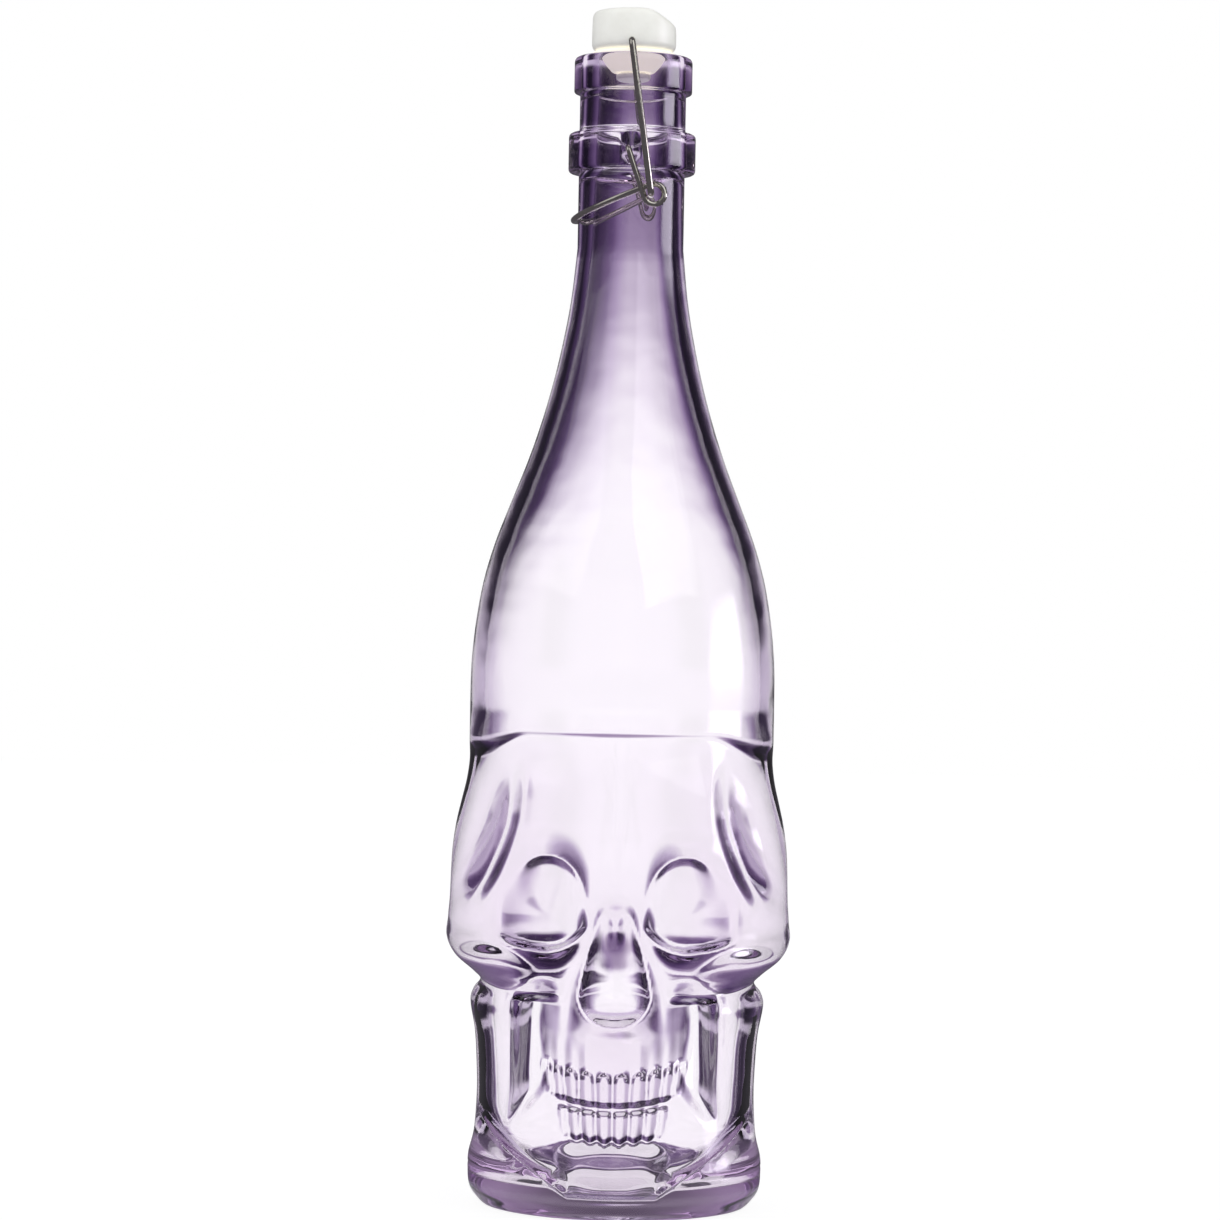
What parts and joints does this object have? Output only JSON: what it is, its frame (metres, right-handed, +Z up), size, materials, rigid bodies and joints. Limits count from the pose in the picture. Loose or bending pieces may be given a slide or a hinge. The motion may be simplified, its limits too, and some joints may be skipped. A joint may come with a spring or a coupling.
{
  "type": "swing-top skull bottle",
  "caption": "Tall tinted glass bottle with its lower body moulded as a skull, closed by a white swing-top stopper on a wire bail with a locking lever.",
  "frame": {"origin": "centre of the overall box at the height of the foot, on the bottle's axis", "axes": "+Z up the bottle's axis, the skull faces -Y, +X to the right of the face seen from the front; the closure's joint axes lie along Y"},
  "size_m": [0.091, 0.0936, 0.3173],
  "materials": {
    "tinted_glass": "clear pale purple pressed glass, glossy inside and out",
    "white_stopper": "off-white, softly glossy",
    "pale_seal": "pale translucent silicone rubber, satin",
    "wire_steel": "bright drawn spring-steel wire"
  },
  "bodies": {
    "bottle": {"bottle_glass": "tinted_glass"},
    "lever": {"lever_wire": "wire_steel"},
    "bail": {"bail_wire": "wire_steel"},
    "stopper": {"stopper_head": "white_stopper", "seal_washer": "pale_seal"}
  },
  "joints": [
    {"name": "lever_swing", "type": "hinge", "parent": "bottle", "child": "lever", "pos_m": [-0.0008, 0, 0.2794], "axis": [0, 1, 0], "range_deg": [0, 95], "deforming": ["seal_washer"]},
    {"name": "bail_swing", "type": "hinge", "parent": "lever", "child": "bail", "pos_m": [0.0054, 0, 0.2673], "axis": [0, 1, 0], "range_deg": [-64.6, 0]},
    {"name": "stopper_tilt", "type": "hinge", "parent": "bail", "child": "stopper", "pos_m": [-0.0004, 0, 0.3084], "axis": [0, 1, 0], "range_deg": [-30.4, 0]}
  ],
  "couplings": [
    {"joint": "bail_swing", "follows": "lever_swing", "ratio": -0.68},
    {"joint": "stopper_tilt", "follows": "lever_swing", "ratio": -0.32}
  ]
}
